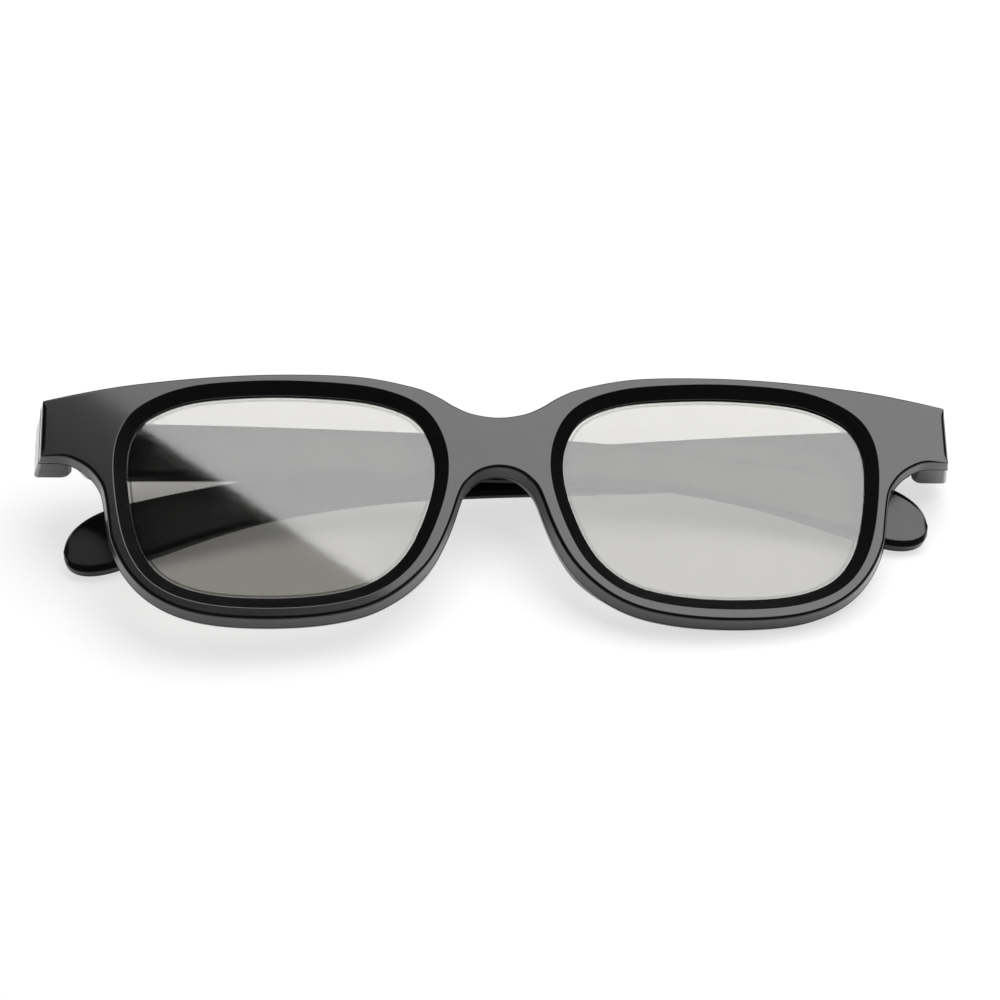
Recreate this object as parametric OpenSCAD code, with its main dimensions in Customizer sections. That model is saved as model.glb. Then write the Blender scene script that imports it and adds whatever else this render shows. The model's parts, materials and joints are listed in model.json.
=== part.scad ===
// Folding polarised 3D glasses, lying folded on a table.
// Each piece is built in the glasses' own frame: x along the front to the viewer's right,
// y up the front, z out of the front face, origin midway between the lenses on their centre line.
// rest() lays the folded glasses on the table, z up, front towards -y.
// Right and left are the wearer's, so the wearer's right is at -x.

/* [Front] */
// Width across the endpieces at the front face
front_w = 145.2; // [140:0.2:156]
// Thickness of the front at the rims
front_t = 4.6; // [4.2:0.1:6]
// Distance between the two lens centres
lens_pitch = 69.2; // [67:0.2:73]
// Width of a lens opening at the front face
lens_w = 53.2; // [49:0.2:54.4]
// Height of a lens opening at the front face
lens_h = 38.5; // [35:0.5:43]
// Width of the flat rim at a lens's outer side
rim_side = 1.95; // [1.6:0.05:2.6]
// Width of the flat rim at a lens's nose side
rim_nose = 2.2; // [1.6:0.1:2.8]
// Width of the flat rim above a lens
rim_top = 1.1; // [0.8:0.1:2]
// Width of the flat rim below a lens
rim_bottom = 1.8; // [1.4:0.1:3]
// Loss of rim width at a lens's lower corners
rim_pinch = 0.3; // [0:0.05:0.5]
// Dip of the bridge's top edge below the crown of the brow
bridge_dip = 7.15; // [5.5:0.05:8.8]
// Height of the bridge
bridge_h = 8.6; // [6.5:0.1:10.5]
// Reach of the curve from the bridge down to a rim
nose_sweep = 5; // [4:0.1:5.6]
// Dip of an endpiece's top edge below the crown of the brow
end_dip = 4.95; // [4:0.05:6]
// Height of an endpiece
end_h = 9.55; // [8.4:0.05:11]
// Outward flare of an endpiece from face to back
end_flare = 1.9; // [0.8:0.1:3]
// Step from the front plate in to the endpiece's hinge block
end_step = 0.3; // [0.2:0.05:0.5]
// Reach of the curve from an endpiece down to a rim
end_sweep = 8; // [6.5:0.1:8.5]
// Depth of the nose rests behind the rims
nose_rest = 1.4; // [0.6:0.1:2]

/* [Lenses] */
// Width of the sloping bezel round a lens
bezel_w = 2.1; // [1.4:0.1:3]
// Depth of the sloping bezel
bezel_d = 1.3; // [0.8:0.1:1.6]
// Depth of the short wall between the bezel and the films
lip_t = 0.5; // [0.3:0.1:0.8]
// Overlap of that lip over the films
lip_w = 1.6; // [1.2:0.1:1.8]
// Thickness of the retarder film
retarder_t = 0.3; // [0.2:0.05:0.5]
// Thickness of the polariser film
polariser_t = 0.5; // [0.3:0.05:0.7]
// Clearance of the films and the retainer in their pocket
film_gap = 0.1; // [0.05:0.05:0.2]
// Width of the lens retainer
retainer_w = 1; // [0.8:0.05:1.2]
// Thickness of the lens retainer
retainer_t = 0.9; // [0.6:0.1:1.2]

/* [Hinges] */
// Distance of a hinge axis in from the endpiece's front corner
hinge_in = 2.1; // [1.8:0.1:2.8]
// Depth of a hinge axis behind the front face
hinge_d = 8; // [7.4:0.1:10]
// Radius of an endpiece round its hinge axis
knuckle_r = 2.2; // [2:0.1:2.4]
// Height of the slot between the two ears
slot_h = 3.75; // [3:0.05:4.4]
// Clearance between the temple tongue and the slot
tongue_gap = 0.15; // [0.1:0.05:0.3]
// Diameter of a hinge pin
pin_d = 1.5; // [1.2:0.1:1.8]
// Clearance round the pin in the ears
ear_gap = 0.015; // [0.01:0.005:0.05]
// Clearance round the pin in the tongue
bore_gap = 0.05; // [0.02:0.01:0.1]
// Depth of the pin in the lower ear
pin_seat = 1.6; // [1.2:0.1:2]
// Gap between a temple's shoulder and its endpiece
shoulder_gap = 0.3; // [0.2:0.05:0.5]

/* [Temples] */
// Length of a temple from the hinge axis to the tip
temple_len = 140.4; // [126:0.2:141.4]
// Height of a temple above its hinge centre at the shoulder
root_up = 4.75; // [4:0.05:5.4]
// Height of a temple below its hinge centre at the shoulder
root_down = 4.5; // [3.8:0.05:5]
// Drop of a temple's centre line from hinge to tip
tip_drop = 14.4; // [13:0.1:17]
// Height of a temple's tip
tip_h = 11.3; // [9.8:0.1:12]
// Distance of a temple's inner face from the hinge axis
temple_in = 0.7; // [0.5:0.1:1]
// Thickness of a temple at the hinge
root_t = 2.9; // [2.4:0.1:3]
// Thickness of a temple half way along
waist_t = 2; // [1.6:0.1:2.2]
// Thickness of a temple at the tip
tip_t = 3; // [2.4:0.1:3.2]
// Width of the bevel along a temple's edges
temple_bevel = 0.9; // [0.6:0.1:1.2]
// Forward slope of the folded right temple in degrees, lying in front of the left
right_fold = 1; // [0.9:0.1:1.2]
// Backward slope of the folded left temple in degrees
left_fold = 2; // [1.8:0.1:3]
// Tilt of a temple in its hinge's play in degrees, the right one raised by the table, the left one hanging
hinge_play = 0.5; // [0:0.1:0.6]

/* [Rest] */
// Lean of the front back from upright in degrees
rest_lean = 68.6; // [60:0.1:80]
// Dip of the front's wearer-left side in degrees
rest_roll = 3.3; // [0:0.1:6]

/* [Hidden] */
$fn = 48;
eps = 0.05;
lens_x = lens_pitch / 2;
end_x = front_w / 2;
crown = lens_h / 2 + rim_top;
bridge_top = crown - bridge_dip;
bridge_bottom = bridge_top - bridge_h;
end_top = crown - end_dip;
end_bottom = end_top - end_h;
nose_x = lens_x - lens_w / 2 - rim_nose;
side_x = lens_x + lens_w / 2 + rim_side;
seat_z = -bezel_d - lip_t;
hinge_x = end_x - hinge_in;
hinge_y = end_top - end_h / 2;
hinge_z = -hinge_d;
back_z = hinge_z - knuckle_r;
shoulder = knuckle_r + shoulder_gap;
tongue_r = knuckle_r - 0.2;
tongue_h = slot_h - 2 * tongue_gap;
pin_r = pin_d / 2;
pin_bottom = hinge_y - slot_h / 2 - pin_seat;
ear_top = end_top - end_step;
ear_bottom = end_bottom + end_step;
pin_top = ear_top - 0.15;
pocket_in = bezel_w - lip_w;

// Lens outline of the right lens about its centre, in half widths and half heights, nose side at +x
lens_shape = [
    [0.99, 0.14], [0.97, 0.49], [0.84, 0.78], [0.57, 0.94], [0.19, 0.995],
    [-0.19, 0.995], [-0.57, 0.935], [-0.83, 0.78], [-0.96, 0.57], [-1, 0.24],
    [-0.95, -0.28], [-0.86, -0.61], [-0.71, -0.83], [-0.46, -0.96], [-0.1, -1],
    [0.28, -0.965], [0.57, -0.85], [0.78, -0.61], [0.91, -0.27]
];

// Top edge of the front from the bridge to the lens centre, as fractions of the rise to the crown
brow_in = [[0.275, 0.73], [0.56, 0.96], [0.945, 1.01]];
// Top edge from the lens centre to the endpiece, as fractions of the fall from the crown
brow_out = [[0.274, 0.91], [0.603, 0.63], [0.84, 0.3]];

// Curve under an endpiece, in sweeps from where the rim's side meets the endpiece's bottom edge
end_bend = [[-0.806, 0.019], [-0.556, -0.038], [-0.24, -0.225], [-0.006, -0.506], [0.106, -0.825]];
// Curve beside the nose, in sweeps from where the rim's nose side meets the bridge's bottom edge
nose_bend = [[-0.06, -0.74], [0.24, -0.36], [0.55, -0.14], [0.87, -0.03]];
// Points of the rim between those two curves, counted round the lens from its nose side
rim_from = 41;
rim_to = 73;

// Centre line of a temple as fractions of its length and of its drop
temple_line = [[0, 0], [0.2, 0.036], [0.4, 0.1], [0.6, 0.19], [0.72, 0.327], [0.81, 0.49], [0.91, 0.745], [1, 1]];
// Height of a temple as fractions of its length and of the tip's height
temple_tall = [[0, 0.86], [0.2, 0.805], [0.4, 0.74], [0.6, 0.645], [0.72, 0.645], [0.81, 0.74], [0.91, 0.9], [1, 1]];
// Thickness stations along a temple as fractions of its length
temple_thin = [[0, root_t], [0.18, root_t], [0.5, waist_t], [0.79, waist_t], [0.9, tip_t], [1, tip_t]];
// Length of the rounded tip
tip_len = 9;
// Corner radii of a temple's shoulder, below and above
corner_low = 4;
corner_high = 1.5;

function mix(a, b, f) = a + (b - a) * f;

// Point on the smooth curve from b to c, with a before and d after
function spline(a, b, c, d, t) =
    0.5 * (2 * b + (c - a) * t + (2 * a - 5 * b + 4 * c - d) * t * t + (3 * b - a - 3 * c + d) * t * t * t);
function loop(p, n) = [
    for (i = [0 : len(p) - 1]) for (k = [0 : n - 1])
        spline(p[(i + len(p) - 1) % len(p)], p[i], p[(i + 1) % len(p)], p[(i + 2) % len(p)], k / n)
];
function path(p, n) = concat([
    for (i = [0 : len(p) - 2]) for (k = [0 : n - 1])
        spline(p[max(i - 1, 0)], p[i], p[i + 1], p[min(i + 2, len(p) - 1)], k / n)
], [p[len(p) - 1]]);

// Outward direction of a closed outline at one of its points
function outward(c, i) =
    let (d = c[(i + 1) % len(c)] - c[(i + len(c) - 1) % len(c)]) [d.y, -d.x] / norm(d);
function inset(c, w) = [for (i = [0 : len(c) - 1]) c[i] - outward(c, i) * w];
function rim_at(m) = m.x * m.x * (m.x > 0 ? rim_nose : rim_side) + m.y * m.y * (m.y > 0 ? rim_top : rim_bottom)
    - 4 * m.x * m.x * m.y * m.y * rim_pinch;
function flip(p) = [for (i = [len(p) - 1 : -1 : 0]) [-p[i].x, p[i].y]];

lens_loop = loop([for (q = lens_shape) [q.x * lens_w / 2 - lens_x, q.y * lens_h / 2]], 4);
rim_loop = [for (i = [0 : len(lens_loop) - 1]) let (m = outward(lens_loop, i)) lens_loop[i] + m * rim_at(m)];

brow_half = concat(
    [[-0.7 * nose_x, mix(bridge_top, crown, 0.08)], [-nose_x - 1.15, mix(bridge_top, crown, 0.255)],
     [-nose_x - 4.1, mix(bridge_top, crown, 0.51)]],
    [for (q = brow_in) [-mix(nose_x, lens_x, q.x), mix(bridge_top, crown, q.y)]],
    [for (q = brow_out) [-mix(lens_x, end_x, q.x), mix(end_top, crown, q.y)]],
    [[-end_x, end_top]]
);
brow = path(concat(flip(brow_half), [[0, bridge_top]], brow_half), 4);
end_curve = path(concat(
    [[-end_x, end_bottom]], [for (q = end_bend) [-side_x, end_bottom] + q * end_sweep], [rim_loop[rim_from]]
), 3);
nose_curve = path(concat(
    [rim_loop[rim_to]], [for (q = nose_bend) [-nose_x, bridge_bottom] + q * nose_sweep], [[0, bridge_bottom]]
), 3);
under = concat(end_curve, [for (i = [rim_from + 1 : rim_to - 1]) rim_loop[i]], nose_curve);
front_loop = concat(
    [for (i = [0 : len(brow) - 1]) brow[i]], under,
    [for (p = flip(under)) if (p.x > 0) p]
);

// Height along a temple by smooth steps between its stations
function slope(p, i) =
    let (a = p[max(i - 1, 0)], b = p[min(i + 1, len(p) - 1)]) (b.y - a.y) / (b.x - a.x);
function along(p, s, i = 0) =
    i < len(p) - 2 && s > p[i + 1].x ? along(p, s, i + 1) :
    let (h = p[i + 1].x - p[i].x, t = (s - p[i].x) / h)
    (2 * t * t * t - 3 * t * t + 1) * p[i].y + (t * t * t - 2 * t * t + t) * h * slope(p, i)
    + (3 * t * t - 2 * t * t * t) * p[i + 1].y + (t * t * t - t * t) * h * slope(p, i + 1);
function corner(s, r) = s - shoulder < r ? r - sqrt(max(0, r * r - pow(r - s + shoulder, 2))) : 0;
function tip_part(s) = let (f = (s - temple_len + tip_len) / tip_len) f <= 0 ? 1 : pow(max(0.02, 1 - pow(f, 2.2)), 1 / 2.2);
function middle(s) = (root_up - root_down) / 2 * (1 - s / temple_len) - tip_drop * along(temple_line, s / temple_len);
function half_tall(s) = tip_h / 2 * along(temple_tall, s / temple_len);
function top_at(s) = middle(s) + half_tall(s) * tip_part(s) - corner(s, corner_high);
function bottom_at(s) = middle(s) - half_tall(s) * tip_part(s) + corner(s, corner_low);
function thick_at(s) = lookup(s / temple_len, temple_thin);

// One bevelled section of a temple: s along it, y across it, the inner face towards +z
function section(s) =
    let (t = top_at(s), b = bottom_at(s), n = -temple_in, f = n - thick_at(s),
         c = min(temple_bevel, (t - b) * 0.35), d = min(temple_bevel * 0.6, thick_at(s) * 0.36))
    [[s, b + c, n], [s, t - c, n], [s, t, n - d], [s, t, f + d],
     [s, t - c, f], [s, b + c, f], [s, b, f + d], [s, b, n - d]];
temple_s = concat(
    [for (k = [0, 0.03, 0.12, 0.3, 0.6, 1]) shoulder + corner_low * k],
    [for (k = [1 : 22]) mix(shoulder + corner_low, temple_len - tip_len, k / 22)],
    [for (k = [0.25, 0.45, 0.62, 0.76, 0.87, 0.95, 1]) temple_len - tip_len * (1 - k)]
);
temple_rings = [for (s = temple_s) section(s)];
temple_points = [for (r = temple_rings) for (q = r) q];
ring_n = len(temple_s);

// The folded glasses turned as they lie, and where their bounds then are
function turn_x(p, a) = [p.x, p.y * cos(a) - p.z * sin(a), p.y * sin(a) + p.z * cos(a)];
function turn_y(p, a) = [p.x * cos(a) + p.z * sin(a), p.y, p.z * cos(a) - p.x * sin(a)];
function turn_z(p, a) = [p.x * cos(a) - p.y * sin(a), p.x * sin(a) + p.y * cos(a), p.z];
function laid(p) = turn_y(turn_x(p, 90 - rest_lean), rest_roll);
function at_hinge(p, a, c) = turn_y(turn_z(p, c), a) + [-hinge_x, hinge_y, hinge_z];
function other(p) = [-p.x, p.y, p.z];
corner_points = [
    for (y = [ear_bottom, ear_top]) [-end_x - end_flare, y, back_z]
];
half_points = concat([for (q = front_loop) for (z = [0, -front_t]) [q.x, q.y, z]], corner_points);
laid_points = [
    for (q = concat(half_points, [for (p = half_points) other(p)],
        [for (p = temple_points) at_hinge(p, -right_fold, hinge_play)],
        [for (p = temple_points) other(at_hinge(p, left_fold, -hinge_play))])) laid(q)
];
lo = [for (k = [0 : 2]) min([for (q = laid_points) q[k]])];
hi = [for (k = [0 : 2]) max([for (q = laid_points) q[k]])];
rest_at = [-(lo.x + hi.x) / 2, -(lo.y + hi.y) / 2, -lo.z];
echo(right_axis_at = rest_at + laid([-hinge_x, hinge_y, hinge_z]), left_axis_at = rest_at + laid([hinge_x, hinge_y, hinge_z]));
echo(axis = laid([0, 1, 0]), face = laid([0, 0, 1]), face_at = rest_at + laid([0, (bridge_top + bridge_bottom) / 2, 0]));

module rest() translate(rest_at) rotate([0, rest_roll, 0]) rotate([90 - rest_lean, 0, 0]) children();
module both() {
    children();
    mirror([1, 0, 0]) children();
}
// Stands a shape drawn in x and z along y, from y = top downwards
module along_y(top, h) translate([0, top, 0]) rotate([90, 0, 0]) linear_extrude(h) children();
module hinge_cylinder(r, from, to) translate([0, from, 0]) rotate([-90, 0, 0]) cylinder(r = r, h = to - from);

// Lens pocket from the face to the back: sloping bezel, lip, then the pocket for films and retainer
module lens_cut() {
    n = len(lens_loop);
    wide = inset(lens_loop, -eps * bezel_w / bezel_d);
    narrow = inset(lens_loop, bezel_w);
    polyhedron(
        points = concat([for (q = wide) [q.x, q.y, eps]], [for (q = narrow) [q.x, q.y, -bezel_d]]),
        faces = concat(
            [[for (i = [n - 1 : -1 : 0]) i]], [[for (i = [0 : n - 1]) n + i]],
            [for (i = [0 : n - 1]) [i, (i + 1) % n, n + (i + 1) % n]],
            [for (i = [0 : n - 1]) [i, n + (i + 1) % n, n + i]]
        )
    );
    translate([0, 0, -front_t - eps]) linear_extrude(front_t + eps - bezel_d + eps / 2) polygon(narrow);
    translate([0, 0, -front_t - eps]) linear_extrude(front_t + eps + seat_z) polygon(inset(lens_loop, pocket_in));
}

// Hinge block of an endpiece: its front end is sunk in the plate, its side flares out towards the back
module endpiece() along_y(ear_top, ear_top - ear_bottom) {
    polygon([
        [-end_x + eps / 2, -0.5], [-end_x - end_flare, back_z], [-hinge_x, back_z],
        [-hinge_x + knuckle_r, hinge_z], [-hinge_x + knuckle_r, -0.5]
    ]);
    translate([-hinge_x, hinge_z]) circle(r = knuckle_r);
}

// Slot for the temple's tongue, open inwards and backwards
module hinge_slot() translate([-hinge_x, hinge_y, hinge_z]) {
    hinge_cylinder(knuckle_r, -slot_h / 2, slot_h / 2);
    translate([-knuckle_r, -slot_h / 2, -knuckle_r - 1]) cube([2 * knuckle_r + 1, slot_h, knuckle_r + 1]);
    translate([0, -slot_h / 2, -eps]) cube([knuckle_r + 1, slot_h, knuckle_r - 0.6 + eps]);
}

// Flat plate of the front with its rims, brow and bridge
module front_plate() translate([0, 0, -front_t]) linear_extrude(front_t) polygon(front_loop);

// Rests beside the nose: a ridge on the back that swells along the rims and thins to a line over the bridge
module nose_ridge() {
    half = [for (i = [rim_to - 9 : rim_to - 1]) rim_loop[i]];
    edge = concat(half, nose_curve);
    run = concat(edge, [for (p = flip(edge)) if (p.x > 0) p]);
    n = len(run);
    side = [for (i = [0 : n - 1]) let (d = run[min(i + 1, n - 1)] - run[max(i - 1, 0)]) [-d.y, d.x] / norm(d)];
    high = [for (i = [0 : n - 1])
        0.05 + nose_rest * min(1, 3 * sin(180 * i / (n - 1))) * pow(min(1, abs(run[i].x) / nose_x), 2)];
    polyhedron(
        points = [for (i = [0 : n - 1]) for (q = [[0.1, 0.2], [0.3, -high[i]], [2, -high[i]], [2.3, 0.2]])
            let (p = run[i] + side[i] * q.x) [p.x, p.y, q.y - front_t]],
        faces = concat(
            [[0, 1, 2, 3]], [[for (k = [3 : -1 : 0]) 4 * (n - 1) + k]],
            [for (i = [0 : n - 2]) for (k = [0 : 3]) [4 * i + k, 4 * i + 4 + k, 4 * i + 4 + (k + 1) % 4]],
            [for (i = [0 : n - 2]) for (k = [0 : 3]) [4 * i + k, 4 * i + 4 + (k + 1) % 4, 4 * i + (k + 1) % 4]]
        )
    );
}

module front_frame() color([0.03, 0.03, 0.035]) rest() difference() {
    union() {
        front_plate();
        nose_ridge();
        both() endpiece();
    }
    both() lens_cut();
    both() hinge_slot();
    both() translate([-hinge_x, 0, hinge_z])
        hinge_cylinder(pin_r + ear_gap, pin_bottom - eps, end_top + 1);
}

module film(at, t) translate([0, 0, at - t]) linear_extrude(t) polygon(inset(lens_loop, pocket_in + film_gap));
module retarder() film(seat_z, retarder_t);
module polariser() film(seat_z - retarder_t, polariser_t);
module right_retarder_film() color([0.5, 0.5, 0.48]) rest() retarder();
module left_retarder_film() color([0.5, 0.5, 0.48]) rest() mirror([1, 0, 0]) retarder();
module right_polariser_film() color([0.3, 0.3, 0.28]) rest() polariser();
module left_polariser_film() color([0.3, 0.3, 0.28]) rest() mirror([1, 0, 0]) polariser();

// Ring pressed in behind the films
module retainer() translate([0, 0, seat_z - retarder_t - polariser_t - retainer_t])
    linear_extrude(retainer_t) difference() {
        polygon(inset(lens_loop, pocket_in + film_gap / 2));
        polygon(inset(lens_loop, pocket_in + film_gap / 2 + retainer_w));
    }
module right_lens_retainer() color([0.06, 0.06, 0.065]) rest() retainer();
module left_lens_retainer() color([0.06, 0.06, 0.065]) rest() mirror([1, 0, 0]) retainer();

module pin() translate([-hinge_x, 0, hinge_z]) hinge_cylinder(pin_r, pin_bottom, pin_top);
module right_hinge_pin() color([0.6, 0.6, 0.62]) rest() pin();
module left_hinge_pin() color([0.6, 0.6, 0.62]) rest() mirror([1, 0, 0]) pin();

// Bevelled side arm with its dropped tip, and the tongue that turns on the pin
module temple_arm() difference() {
    union() {
        polyhedron(
            points = temple_points,
            faces = concat(
                [[for (k = [7 : -1 : 0]) k]], [[for (k = [0 : 7]) 8 * (ring_n - 1) + k]],
                [for (i = [0 : ring_n - 2]) for (k = [0 : 7]) [8 * i + k, 8 * i + 8 + (k + 1) % 8, 8 * i + 8 + k]],
                [for (i = [0 : ring_n - 2]) for (k = [0 : 7]) [8 * i + k, 8 * i + (k + 1) % 8, 8 * i + 8 + (k + 1) % 8]]
            )
        );
        hinge_cylinder(tongue_r, -tongue_h / 2, tongue_h / 2);
        translate([0, -tongue_h / 2, -tongue_r]) cube([shoulder + 0.9, tongue_h, tongue_r + 1.4]);
    }
    hinge_cylinder(pin_r + bore_gap, -tongue_h, tongue_h);
}
module right_temple() color([0.025, 0.025, 0.03]) rest()
    translate([-hinge_x, hinge_y, hinge_z]) rotate([0, -right_fold, 0]) rotate([0, 0, hinge_play]) temple_arm();
module left_temple() color([0.025, 0.025, 0.03]) rest() mirror([1, 0, 0])
    translate([-hinge_x, hinge_y, hinge_z]) rotate([0, left_fold, 0]) rotate([0, 0, -hinge_play]) temple_arm();

front_frame();
right_retarder_film();
left_retarder_film();
right_polariser_film();
left_polariser_film();
right_lens_retainer();
left_lens_retainer();
right_hinge_pin();
left_hinge_pin();
right_temple();
left_temple();
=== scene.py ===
"""Folded 3D glasses on a white table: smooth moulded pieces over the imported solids, with their finishes."""

import json

import bmesh
import bpy
import numpy as np
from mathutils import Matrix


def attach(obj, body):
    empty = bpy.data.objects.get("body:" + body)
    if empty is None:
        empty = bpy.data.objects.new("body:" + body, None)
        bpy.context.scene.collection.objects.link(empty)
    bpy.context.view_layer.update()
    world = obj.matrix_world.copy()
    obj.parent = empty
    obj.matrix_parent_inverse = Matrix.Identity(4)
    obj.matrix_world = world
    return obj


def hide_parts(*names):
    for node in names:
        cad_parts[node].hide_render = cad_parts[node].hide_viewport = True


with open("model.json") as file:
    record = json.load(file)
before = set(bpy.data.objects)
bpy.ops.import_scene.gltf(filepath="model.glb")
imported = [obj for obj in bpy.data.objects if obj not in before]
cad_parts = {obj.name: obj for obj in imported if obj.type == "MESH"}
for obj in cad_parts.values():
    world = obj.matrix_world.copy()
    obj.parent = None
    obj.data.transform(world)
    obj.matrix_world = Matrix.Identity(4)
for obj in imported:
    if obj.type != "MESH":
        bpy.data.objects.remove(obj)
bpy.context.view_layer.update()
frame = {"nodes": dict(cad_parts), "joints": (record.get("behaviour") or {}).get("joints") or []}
bpy.context.scene.view_settings.view_transform = "Standard"

# Sizes in millimetres in the glasses' own frame: x across, y up the front, z out of the front face.
MM = 0.001

# Front plate: lens openings, rims, bridge and endpieces.
FRONT_T = 4.6
LENS_X = 34.6
LENS_HALF = np.array([26.6, 19.25])
RIM_SIDE, RIM_NOSE, RIM_TOP, RIM_BOTTOM, RIM_PINCH = 1.95, 2.2, 1.1, 1.8, 0.3
BRIDGE_TOP, BRIDGE_BOTTOM, NOSE_X, NOSE_SWEEP = 13.2, 4.6, 5.8, 5.0
CROWN = LENS_HALF[1] + RIM_TOP
SIDE_X = 63.15
END_X, END_TOP, END_BOTTOM, END_FLARE, END_STEP, END_SWEEP = 72.6, 15.4, 5.85, 1.9, 0.3, 8.0
END_CORNERS = np.array([[-END_X, END_TOP], [-END_X, END_BOTTOM]])

# Edges of the front: parting line, draft, softened edge, bezel, seat and pocket of the lens.
PARTING_Z, DRAFT, EDGE = -3.0, 0.5, 0.5
BEZEL_W, BEZEL_D, SEAT_Z, POCKET = 2.1, 1.3, -1.8, 0.5

# Nose rest on the back: height, width, fall at its side, length from the bridge, rise at its end.
NOSE_REST, REST_W, REST_FALL, REST_RUN, REST_RISE = 1.4, 1.6, 0.8, 30, 9

# Films and retainer: inset from the lens opening, edge rounding, depths, rings of the darkened band near the
# lens edge.
FILM_INSET, FILM_EDGE = 0.6, 0.03
RETARDER_BACK, POLARISER_Z, POLARISER_BACK = -2.09, -2.11, -2.6
DARK_BAND_RINGS = (2.76, 2.7, 2.4, 2.34)
RETAINER_SECTION = [(0.55, -2.6), (0.55, -3.42), (0.63, -3.5), (1.47, -3.5), (1.55, -3.42), (1.55, -2.6)]

# Hinges: place of the pin, knuckle round it, slot for the tongue and the web left beside it.
HINGE_X, HINGE_Y, HINGE_Z = 70.5, 10.625, -8.0
KNUCKLE, SLOT_H, SLOT_WEB = 2.2, 3.75, 1.6
BACK_Z = HINGE_Z - KNUCKLE
BLOCK_X = HINGE_X - KNUCKLE
BLOCK_Z = PARTING_Z + 1.0
SLOT_BEARING = 46.66
PLAN_SOFT, PLAN_POINTS = 0.12, 240

# Temples: length, heights at the root, drop and height at the tip, shoulder, inner face, bevel.
TEMPLE_L, ROOT_UP, ROOT_DOWN, TIP_DROP, TIP_H = 140.4, 4.75, 4.5, 14.4, 11.3
SHOULDER, TIP_ROUND, TEMPLE_IN, BEVEL, BEVEL_SOFT = 2.5, 9.0, 0.7, 0.9, 0.18
ROUND_LOW, ROUND_HIGH = 4.0, 1.5
TIP_POWER, TIP_THINS_AT, TIP_LEFT = 2.2, 0.9, 0.65
TONGUE_R, TONGUE_H, WEB_Z, WEB_LAP = 2.0, 3.45, 1.4, 0.9
FOLD_RIGHT, FOLD_LEFT, HINGE_PLAY = np.radians(1.0), np.radians(2.0), np.radians(0.5)

# The two hinge pins give the glasses' own axes on the table.
pins = {j["name"]: j for j in frame["joints"]}
PIN_RIGHT = np.array(pins["right_temple_fold"]["pos_m"], float)
PIN_LEFT = np.array(pins["left_temple_fold"]["pos_m"], float)
UP = np.array(pins["right_temple_fold"]["axis"], float)
UP /= np.linalg.norm(UP)
ACROSS = (PIN_LEFT - PIN_RIGHT) / np.linalg.norm(PIN_LEFT - PIN_RIGHT)
OUT = np.cross(ACROSS, UP)
ORIGIN = (PIN_RIGHT + PIN_LEFT) / 2 - (HINGE_Y * UP + HINGE_Z * OUT) * MM


def on_table(p):
    """Point (x, y, z) of the glasses in mm as origin + x across + y up + z out, in metres on the table."""
    return ORIGIN + (p[..., :1] * ACROSS + p[..., 1:2] * UP + p[..., 2:3] * OUT) * MM


def mix(a, b, t):
    """Point a fraction t of the way from a to b."""
    return a + (b - a) * t


def smooth(t):
    """Smooth step from 0 to 1 with level ends: 3 t^2 - 2 t^3."""
    t = np.clip(t, 0, 1)
    return t * t * (3 - 2 * t)


def spline(points, per, closed):
    """Catmull-Rom curve: cubics whose slope at a point is half the step between its two neighbours."""
    p = np.asarray(points, float)
    if closed:
        a, b, c, d = np.roll(p, 1, 0), p, np.roll(p, -1, 0), np.roll(p, -2, 0)
    else:
        q = np.vstack([2 * p[0] - p[1], p, 2 * p[-1] - p[-2]])
        a, b, c, d = q[:-3], q[1:-2], q[2:-1], q[3:]
    t = np.linspace(0, 1, per, endpoint=False)[None, :, None]
    a, b, c, d = (v[:, None, :] for v in (a, b, c, d))
    bend = (2 * a - 5 * b + 4 * c - d) * t**2 + (3 * b - a - 3 * c + d) * t**3
    run = (0.5 * (2 * b + (c - a) * t + bend)).reshape(-1, p.shape[1])
    return run if closed else np.vstack([run, p[-1:]])


def lengths(run):
    """Distance along a run of points from its first one."""
    return np.concatenate([[0], np.cumsum(np.linalg.norm(np.diff(run, axis=0), axis=1))])


def even(run, count):
    """The same run with `count` points at equal steps of length, both ends kept."""
    far = lengths(run)
    at = np.linspace(0, far[-1], count)
    return np.stack([np.interp(at, far, run[:, k]) for k in range(run.shape[1])], 1)


def blur(loop, soft, size):
    """Closed even loop of length `size` whose waves of wavelength w shrink by exp(-2 (pi soft / w)^2)."""
    wave = np.fft.fftfreq(len(loop), 1 / len(loop)) / size
    c = np.fft.fft(loop[:, 0] + 1j * loop[:, 1]) * np.exp(-2 * (np.pi * soft * wave) ** 2)
    c = np.fft.ifft(c)
    return np.stack([c.real, c.imag], 1)


def outward(loop):
    """Unit normals to the right of a counter-clockwise closed loop, which is its outside."""
    d = np.roll(loop, -1, 0) - np.roll(loop, 1, 0)
    n = np.stack([d[:, 1], -d[:, 0]], 1)
    return n / np.linalg.norm(n, axis=1, keepdims=True)


# Opening of the right lens in half sizes about its centre, nose side first, counter-clockwise.
LENS_SHAPE = [
    (0.99, 0.14), (0.97, 0.49), (0.84, 0.78), (0.57, 0.94), (0.19, 0.995), (-0.19, 0.995), (-0.57, 0.935),
    (-0.83, 0.78), (-0.96, 0.57), (-1.0, 0.24), (-0.95, -0.28), (-0.86, -0.61), (-0.71, -0.83),
    (-0.46, -0.96), (-0.1, -1.0), (0.28, -0.965), (0.57, -0.85), (0.78, -0.61), (0.91, -0.27),
]
LENS_SOFT = 1.2


def lens_opening(count=720):
    """The lens opening as an even closed curve about the lens centre, its kinks blurred away."""
    run = spline(np.array(LENS_SHAPE) * LENS_HALF, 48, True)
    run = np.vstack([run, run[:1]])
    return blur(even(run, count + 1)[:-1], LENS_SOFT, lengths(run)[-1])


LENS = lens_opening()
LENS_N = outward(LENS)


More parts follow.
